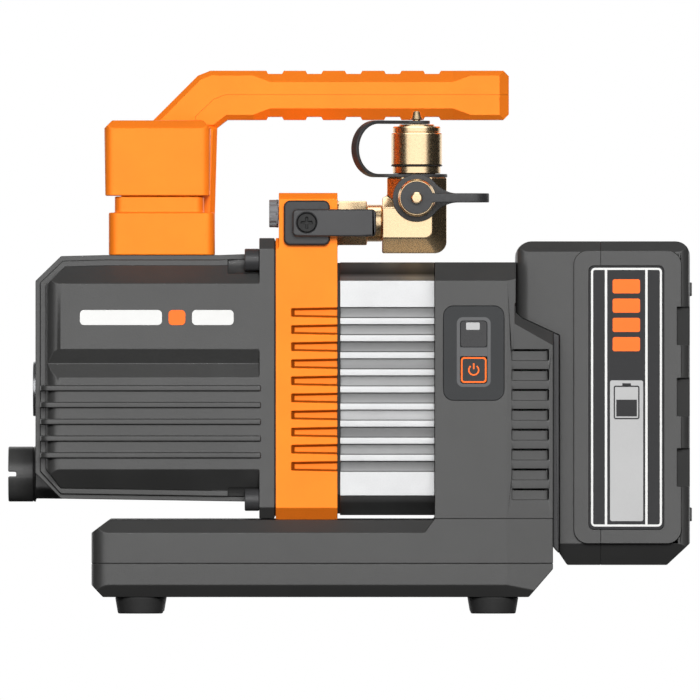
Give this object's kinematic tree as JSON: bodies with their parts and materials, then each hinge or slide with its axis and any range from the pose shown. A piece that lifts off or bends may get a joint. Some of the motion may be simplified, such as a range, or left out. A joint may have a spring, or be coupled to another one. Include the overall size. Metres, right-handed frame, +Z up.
{
  "type": "refrigeration vacuum pump",
  "caption": "Battery-powered two-stage rotary vacuum pump with a finned oil tank, valved flare inlet, cantilever carrying handle, flat footed base and slide-on battery.",
  "frame": {"origin": "on the floor under the middle of the pump: centre of the bounding box, at the height of the feet", "axes": "+X from the oil tank towards the battery, +Z up, -Y the side with the control panel and the inlet fittings"},
  "size_m": [0.2628, 0.118, 0.2085],
  "materials": {
    "orange_paint": "semi-matt orange coating with fine grain",
    "orange_plastic": "orange moulding",
    "grey_paint": "dark grey coated casting, fine grain",
    "grey_plastic": "dark grey moulding, fine grain",
    "dark_plastic": "near-black moulding",
    "panel_plastic": "satin dark panel",
    "smoked_lens": "smoked indicator window",
    "oil_glass": "clear sight glass over amber oil",
    "black_rubber": "matt black",
    "red_rubber": "matt red elastomer",
    "steel": "machined",
    "dark_steel": "blackened",
    "iron": "ground and turned",
    "aluminium": "blasted extrusion",
    "cast_aluminium": "as cast, turned faces",
    "brass": "turned and polished",
    "copper": "enamelled copper wire",
    "white_plastic": "natural PTFE",
    "filter_paper": "pleated filter element",
    "board": "printed circuit board with parts",
    "cell_wrap": "shrink-wrapped steel can"
  },
  "bodies": {
    "frame": {"base_upper": "grey_plastic", "base_lower": "grey_plastic", "feet": "black_rubber", "base_screws": "steel", "oil_tank": "grey_paint", "tank_gasket": "black_rubber", "tank_screws": "dark_steel", "sight_bezel": "steel", "sight_lens": "oil_glass", "exhaust_port": "orange_plastic", "mist_filter": "filter_paper", "pump_body": "orange_paint", "pump_cylinders": "iron", "pump_plates": "iron", "cartridge_bolts": "steel", "discharge_reeds": "steel", "shaft_seal": "black_rubber", "valve_plate": "dark_plastic", "valve_seats": "white_plastic", "valve_nut": "brass", "inlet_elbow": "brass", "inlet_strap": "black_rubber", "side_strap": "black_rubber", "motor_gasket": "black_rubber", "motor_housing": "aluminium", "front_shield": "cast_aluminium", "stator_core": "steel", "windings": "copper", "bearings": "steel", "end_bell": "cast_aluminium", "rear_housing": "grey_plastic", "dock_plate": "dark_plastic", "dock_terminals": "brass", "control_board": "board", "control_panel": "panel_plastic", "status_lens": "smoked_lens", "handle_core": "orange_plastic", "handle_cover": "orange_plastic"},
    "rotor": {"pump_rotor": "steel", "vanes": "dark_plastic", "coupling_jaws": "cast_aluminium", "coupling_spider": "red_rubber", "motor_rotor": "dark_steel", "motor_shaft": "steel", "cooling_fan": "dark_plastic"},
    "valve": {"valve_lever": "dark_steel", "lever_screw": "dark_steel", "valve_stem": "steel", "valve_ball": "steel"},
    "inlet_cap": {"inlet_cap": "brass"},
    "side_cap": {"side_cap": "brass"},
    "drain_plug": {"drain_plug": "grey_paint"},
    "exhaust_cap": {"exhaust_cap": "orange_plastic"},
    "power_button": {"power_button": "panel_plastic"},
    "ballast_knob": {"ballast_knob": "aluminium"},
    "battery": {"battery_front_shell": "grey_plastic", "battery_rear_shell": "grey_plastic", "battery_labels": "panel_plastic", "battery_cells": "cell_wrap"},
    "battery_latch": {"battery_latch": "orange_plastic"}
  },
  "joints": [
    {"name": "rotor_spin", "type": "hinge", "parent": "frame", "child": "rotor", "pos_m": [0, 0, 0.086], "axis": [1, 0, 0], "continuous": true},
    {"name": "valve_turn", "type": "hinge", "parent": "frame", "child": "valve", "pos_m": [-0.0165, -0.028, 0.1498], "axis": [0, -1, 0], "range_deg": [0, 90]},
    {"name": "inlet_cap_lift", "type": "slide", "parent": "frame", "child": "inlet_cap", "axis": [0, 0, 1], "range_m": [0, 0.017], "deforming": ["inlet_strap"]},
    {"name": "side_cap_pull", "type": "slide", "parent": "frame", "child": "side_cap", "axis": [0, -1, 0], "range_m": [0, 0.012], "deforming": ["side_strap"]},
    {"name": "drain_plug_pull", "type": "slide", "parent": "frame", "child": "drain_plug", "axis": [-1, 0, 0], "range_m": [0, 0.02]},
    {"name": "exhaust_cap_lift", "type": "slide", "parent": "frame", "child": "exhaust_cap", "axis": [0, 0, 1], "range_m": [0, 0.025]},
    {"name": "power_button_press", "type": "slide", "parent": "frame", "child": "power_button", "axis": [0, 1, 0], "range_m": [0, 0.001], "stiffness_N_per_m": 400},
    {"name": "ballast_knob_turn", "type": "hinge", "parent": "frame", "child": "ballast_knob", "pos_m": [-0.029, -0.042, 0.1534], "axis": [-1, 0, 0], "range_deg": [0, 180]},
    {"name": "battery_slide", "type": "slide", "parent": "frame", "child": "battery", "axis": [0, 0, 1], "range_m": [0, 0.09]},
    {"name": "battery_latch_press", "type": "slide", "parent": "battery", "child": "battery_latch", "axis": [0, 0, -1], "range_m": [0, 0.0006], "stiffness_N_per_m": 400}
  ]
}
